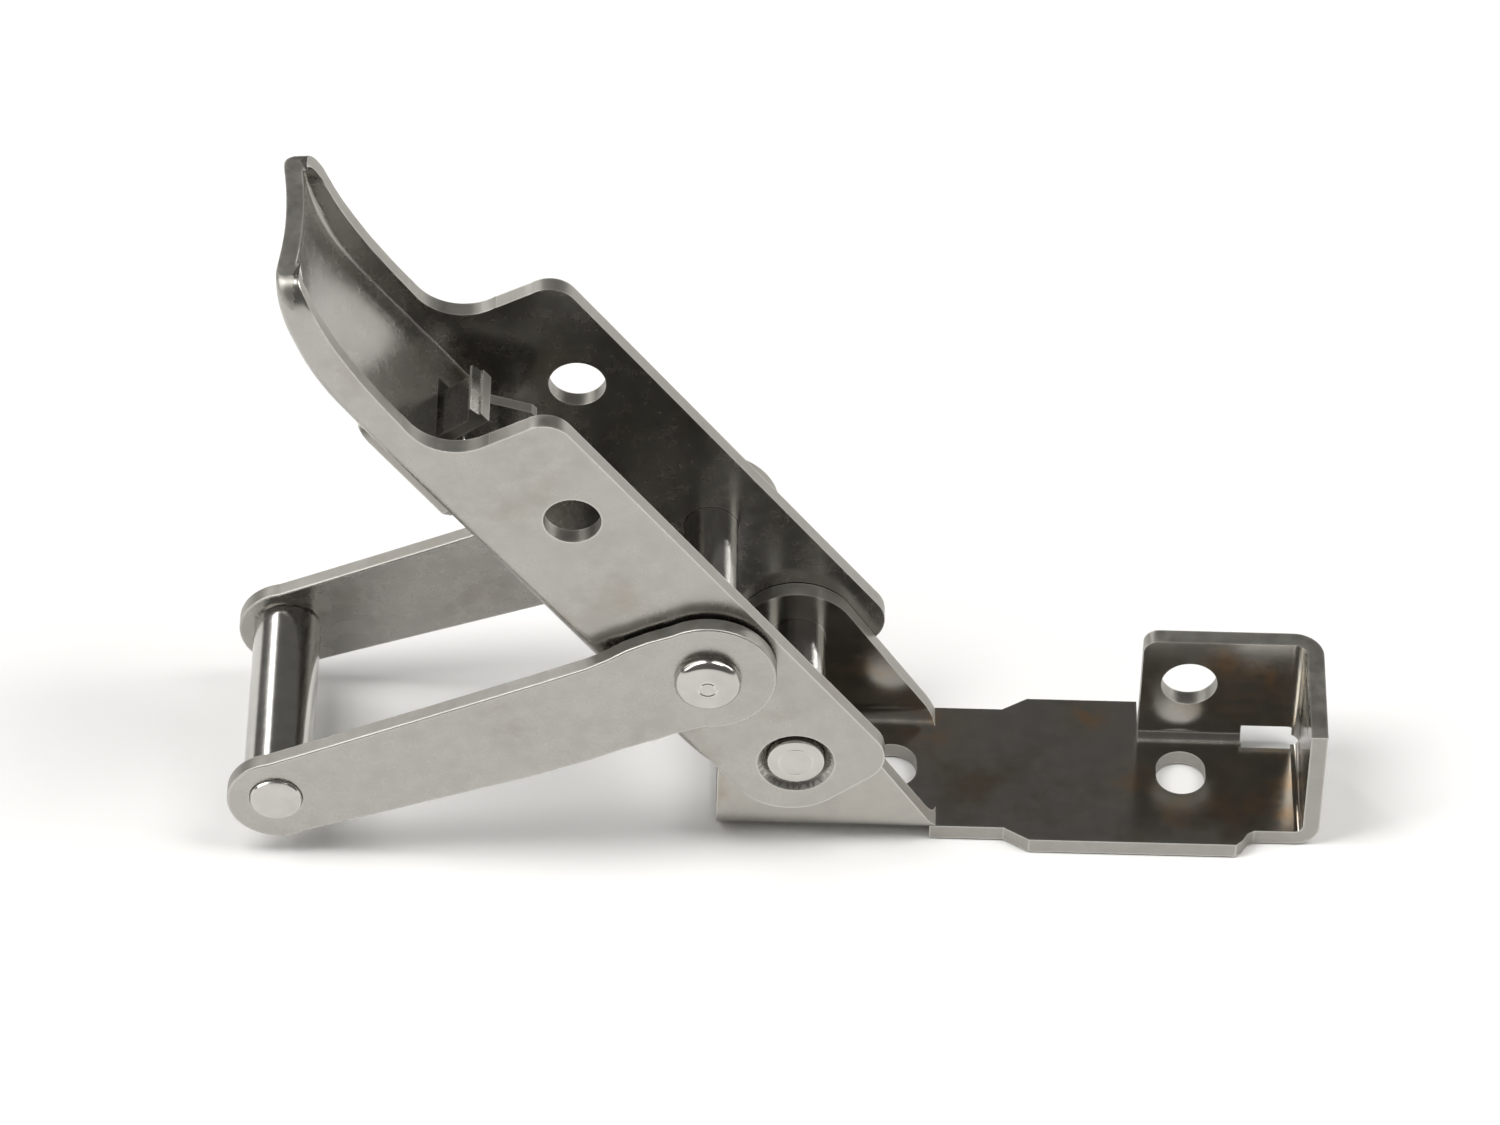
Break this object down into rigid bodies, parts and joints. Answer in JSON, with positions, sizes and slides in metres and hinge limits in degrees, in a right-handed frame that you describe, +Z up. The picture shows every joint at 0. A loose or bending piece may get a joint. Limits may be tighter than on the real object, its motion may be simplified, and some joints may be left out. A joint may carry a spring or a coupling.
{
  "type": "toggle bolt latch",
  "caption": "Heavy over-centre toggle latch in bent stainless sheet: channel lever, two-arm link with hook pin, base bracket with padlock ear and sliding safety catch",
  "frame": {"origin": "midway between the two fixing slots, on the underside of the base plate", "axes": "+X along the base from the hook pin towards the end wall, +Z up off the panel, +Y across the latch towards the side with the padlock ear"},
  "size_m": [0.1293, 0.0334, 0.0878],
  "materials": {
    "bracket_steel": "tumbled stainless sheet",
    "lever_steel": "tumbled stainless sheet",
    "arm_steel": "tumbled stainless sheet",
    "pin_steel": "turned stainless rod",
    "catch_steel": "tumbled stainless sheet",
    "spring_steel": "drawn spring wire"
  },
  "bodies": {
    "bracket": {"base_bracket": "bracket_steel", "pivot_pin": "pin_steel"},
    "lever_body": {"lever": "lever_steel", "catch_spring": "spring_steel"},
    "link": {"link_arm_front": "arm_steel", "link_arm_rear": "arm_steel", "link_pin": "pin_steel", "hook_pin": "pin_steel"},
    "catch_body": {"safety_catch": "catch_steel", "catch_pin": "pin_steel"}
  },
  "joints": [
    {"name": "lever_hinge", "type": "hinge", "parent": "bracket", "child": "lever_body", "pos_m": [-0.029, 0, 0.01462], "axis": [0, 1, 0], "range_deg": [-37, 129]},
    {"name": "link_hinge", "type": "hinge", "parent": "lever_body", "child": "link", "pos_m": [-0.03963, 0, 0.03058], "axis": [0, 1, 0], "range_deg": [-111, 56]},
    {"name": "catch_slide", "type": "slide", "parent": "lever_body", "child": "catch_body", "axis": [0.6078, 0, -0.7941], "range_m": [0, 0.0025], "stiffness_N_per_m": 2000, "springref_m": -0.001, "deforming": ["catch_spring"]}
  ]
}
